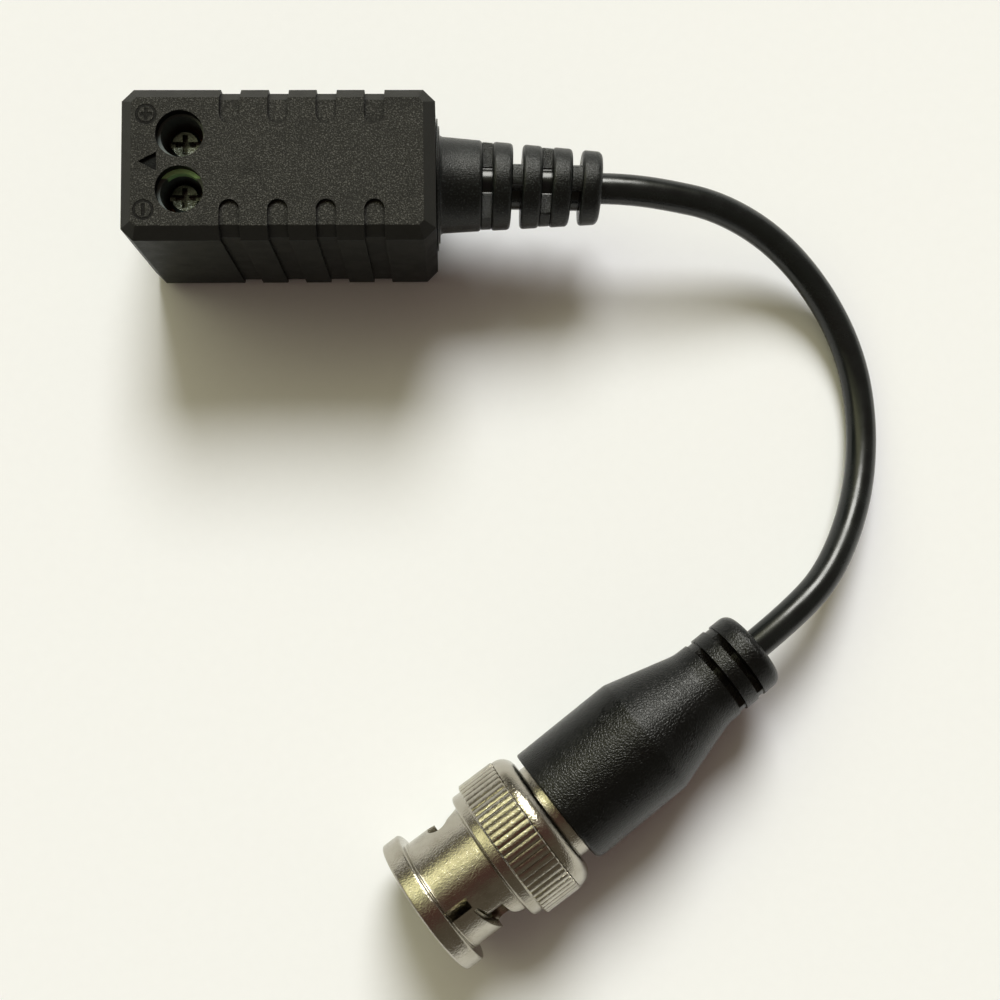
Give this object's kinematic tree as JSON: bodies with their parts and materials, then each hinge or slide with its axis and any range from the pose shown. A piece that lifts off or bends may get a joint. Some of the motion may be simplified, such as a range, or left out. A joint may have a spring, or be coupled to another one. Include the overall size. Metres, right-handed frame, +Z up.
{
  "type": "balun",
  "caption": "Screw-terminal balun: ribbed black housing, slotted strain relief, short coaxial pigtail and a bayonet plug whose knurled ring turns and springs.",
  "frame": {"origin": "centre of the housing's underside", "axes": "+X along the housing from the wire windows to the strain relief, +Z up through the screw wells, +Y across the housing away from the plug's side"},
  "size_m": [0.0735, 0.0815, 0.018],
  "materials": {
    "housing": "matte, spark-eroded top",
    "relief_moulding": "satin",
    "terminal_green": "satin",
    "nickel": "bright nickel plate",
    "brass": "bright",
    "steel": "plain",
    "board": "satin",
    "ferrite": "matte",
    "copper": "enamelled",
    "component_black": "matte",
    "chip_ceramic": "matte",
    "dielectric": "satin",
    "cable_jacket": "glossy",
    "boot_moulding": "fine leather grain",
    "seal_rubber": "matte"
  },
  "bodies": {
    "housing_and_cord": {"top_shell": "housing", "bottom_shell": "housing", "terminal_block": "terminal_green", "clamp_cage_plus": "brass", "clamp_cage_minus": "brass", "circuit_board": "board", "toroid_core": "ferrite", "primary_winding": "copper", "secondary_winding": "copper", "surge_suppressor": "component_black", "chip_components": "chip_ceramic", "strain_relief": "relief_moulding", "cable": "cable_jacket", "cable_dielectric": "dielectric", "centre_conductor": "copper", "braid_tail": "copper", "plug_body": "nickel", "plug_insulator": "dielectric", "centre_pin": "brass", "gasket": "seal_rubber", "retaining_collar": "nickel", "plug_boot": "boot_moulding"},
    "pressure_plate_plus": {"pressure_plate_plus": "steel"},
    "pressure_plate_minus": {"pressure_plate_minus": "steel"},
    "screw_plus": {"screw_plus": "nickel"},
    "screw_minus": {"screw_minus": "nickel"},
    "thrust_washer": {"thrust_washer": "steel", "wave_spring": "steel"},
    "coupling_ring": {"coupling_ring": "nickel"}
  },
  "joints": [
    {"name": "plate_lift_plus", "type": "slide", "parent": "housing_and_cord", "child": "pressure_plate_plus", "axis": [0, 0, 1], "range_m": [0, 0.0019]},
    {"name": "screw_turn_plus", "type": "hinge", "parent": "pressure_plate_plus", "child": "screw_plus", "pos_m": [-0.00891, 0.00254, 0.0145], "axis": [0, 0, 1], "range_deg": [0, 1370]},
    {"name": "plate_lift_minus", "type": "slide", "parent": "housing_and_cord", "child": "pressure_plate_minus", "axis": [0, 0, 1], "range_m": [0, 0.0019]},
    {"name": "screw_turn_minus", "type": "hinge", "parent": "pressure_plate_minus", "child": "screw_minus", "pos_m": [-0.00891, -0.00254, 0.0145], "axis": [0, 0, 1], "range_deg": [0, 1370]},
    {"name": "ring_push", "type": "slide", "parent": "housing_and_cord", "child": "thrust_washer", "axis": [-0.8133, -0.5819, 0], "range_m": [0, 0.0004], "stiffness_N_per_m": 500, "springref_m": -0.0004},
    {"name": "ring_turn", "type": "hinge", "parent": "thrust_washer", "child": "coupling_ring", "pos_m": [0.02162, -0.06248, 0.0072], "axis": [0.8133, 0.5819, 0], "continuous": true}
  ],
  "couplings": [
    {"joint": "screw_turn_plus", "follows": "plate_lift_plus", "rad_per_m": 12566},
    {"joint": "screw_turn_minus", "follows": "plate_lift_minus", "rad_per_m": 12566}
  ]
}
